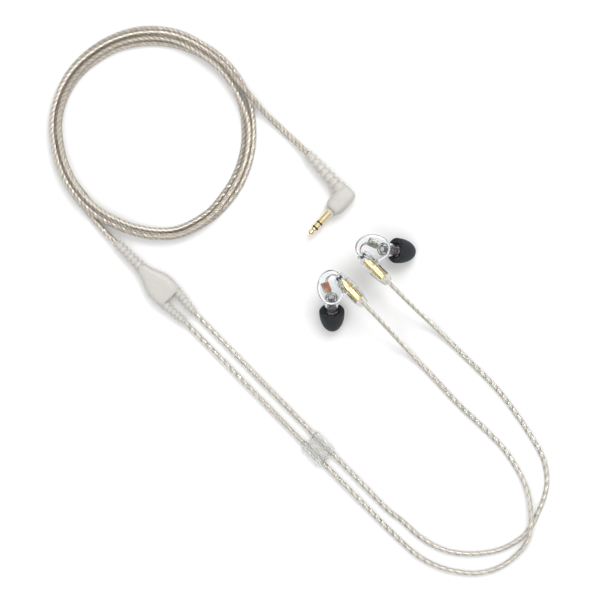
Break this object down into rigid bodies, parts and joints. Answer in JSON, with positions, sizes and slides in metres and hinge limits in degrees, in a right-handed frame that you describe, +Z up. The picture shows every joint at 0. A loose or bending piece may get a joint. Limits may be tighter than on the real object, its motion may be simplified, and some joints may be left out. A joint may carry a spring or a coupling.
{
  "type": "in-ear monitors",
  "caption": "In-ear monitors with clear housings and foam sleeves, on a detachable cable with a Y-split, cinch slider, coiled trunk and right-angle stereo plug.",
  "frame": {"origin": "on the surface the set lies on, under the middle of the two earphones", "axes": "+Z up from that surface; the cable loops towards -Y and its coil lies towards -X and +Y"},
  "size_m": [0.2499, 0.2735, 0.0247],
  "materials": {
    "clear_shell": "polished clear plastic",
    "clear_rubber": "translucent moulded rubber",
    "cable_jacket": "clear jacket over twisted metal strands",
    "gold": "gold plated",
    "black_foam": "soft foam",
    "black_plastic": "matt",
    "white_plastic": "matt",
    "driver_steel": "brushed",
    "copper_board": "copper flex board",
    "nozzle_plastic": "smoked plastic",
    "damper_mesh": "fine woven mesh",
    "red_wire": "enamelled wire",
    "dark_wire": "enamelled wire"
  },
  "bodies": {
    "cable": {"y_split_body": "clear_rubber", "trunk_relief": "clear_rubber", "trunk_cable_split_end": "cable_jacket", "trunk_cable_coil": "cable_jacket", "trunk_cable_plug_end": "cable_jacket", "plug_relief": "clear_rubber", "plug_body": "clear_rubber", "plug_collar": "clear_rubber", "jack_sleeve_contact": "gold", "jack_rear_insulator": "black_plastic", "jack_ring_contact": "gold", "jack_front_insulator": "black_plastic", "jack_tip_contact": "gold", "left_plug_barrel": "gold", "left_plug_insulator": "white_plastic", "left_plug_pin": "gold", "left_connector_boot": "clear_rubber", "left_leg_relief": "clear_rubber", "left_leg_cable": "cable_jacket", "right_plug_barrel": "gold", "right_plug_insulator": "white_plastic", "right_plug_pin": "gold", "right_connector_boot": "clear_rubber", "right_leg_relief": "clear_rubber", "right_leg_cable": "cable_jacket"},
    "left_retaining_ring": {"left_snap_ring": "gold"},
    "left_earphone": {"left_outer_shell": "clear_shell", "left_inner_shell": "clear_shell", "left_nozzle_tube": "nozzle_plastic", "left_acoustic_damper": "damper_mesh", "left_woofer_driver": "driver_steel", "left_tweeter_driver": "driver_steel", "left_crossover_board": "copper_board", "left_signal_wire": "red_wire", "left_ground_wire": "dark_wire", "left_socket": "gold", "left_socket_insulator": "black_plastic", "left_socket_contact": "gold"},
    "left_sleeve": {"left_sleeve_foam": "black_foam", "left_sleeve_core": "black_plastic"},
    "right_retaining_ring": {"right_snap_ring": "gold"},
    "right_earphone": {"right_outer_shell": "clear_shell", "right_inner_shell": "clear_shell", "right_nozzle_tube": "nozzle_plastic", "right_acoustic_damper": "damper_mesh", "right_woofer_driver": "driver_steel", "right_tweeter_driver": "driver_steel", "right_crossover_board": "copper_board", "right_signal_wire": "red_wire", "right_ground_wire": "dark_wire", "right_socket": "gold", "right_socket_insulator": "black_plastic", "right_socket_contact": "gold"},
    "right_sleeve": {"right_sleeve_foam": "black_foam", "right_sleeve_core": "black_plastic"},
    "slider": {"cinch_slider": "clear_rubber"}
  },
  "joints": [
    {"name": "left_swivel", "type": "hinge", "parent": "cable", "child": "left_retaining_ring", "pos_m": [-0.0082, -0.0034, 0.0191], "axis": [0.6947, -0.7193, 0], "range_deg": [-110, 90]},
    {"name": "left_unplug", "type": "slide", "parent": "left_retaining_ring", "child": "left_earphone", "axis": [-0.6947, 0.7193, 0], "range_m": [0, 0.006]},
    {"name": "left_sleeve_pull", "type": "slide", "parent": "left_earphone", "child": "left_sleeve", "axis": [0.0334, -0.7653, -0.6428], "range_m": [0, 0.009]},
    {"name": "right_swivel", "type": "hinge", "parent": "cable", "child": "right_retaining_ring", "pos_m": [0.0036, 0.0075, 0.0191], "axis": [0.6947, -0.7193, 0], "range_deg": [-90, 110]},
    {"name": "right_unplug", "type": "slide", "parent": "right_retaining_ring", "child": "right_earphone", "axis": [-0.6947, 0.7193, 0], "range_m": [0, 0.006]},
    {"name": "right_sleeve_pull", "type": "slide", "parent": "right_earphone", "child": "right_sleeve", "axis": [0.7637, -0.0601, -0.6428], "range_m": [0, 0.009]},
    {"name": "cinch_slide", "type": "slide", "parent": "cable", "child": "slider", "axis": [0.6997, -0.7145, 0], "range_m": [-0.075, 0.02]}
  ]
}
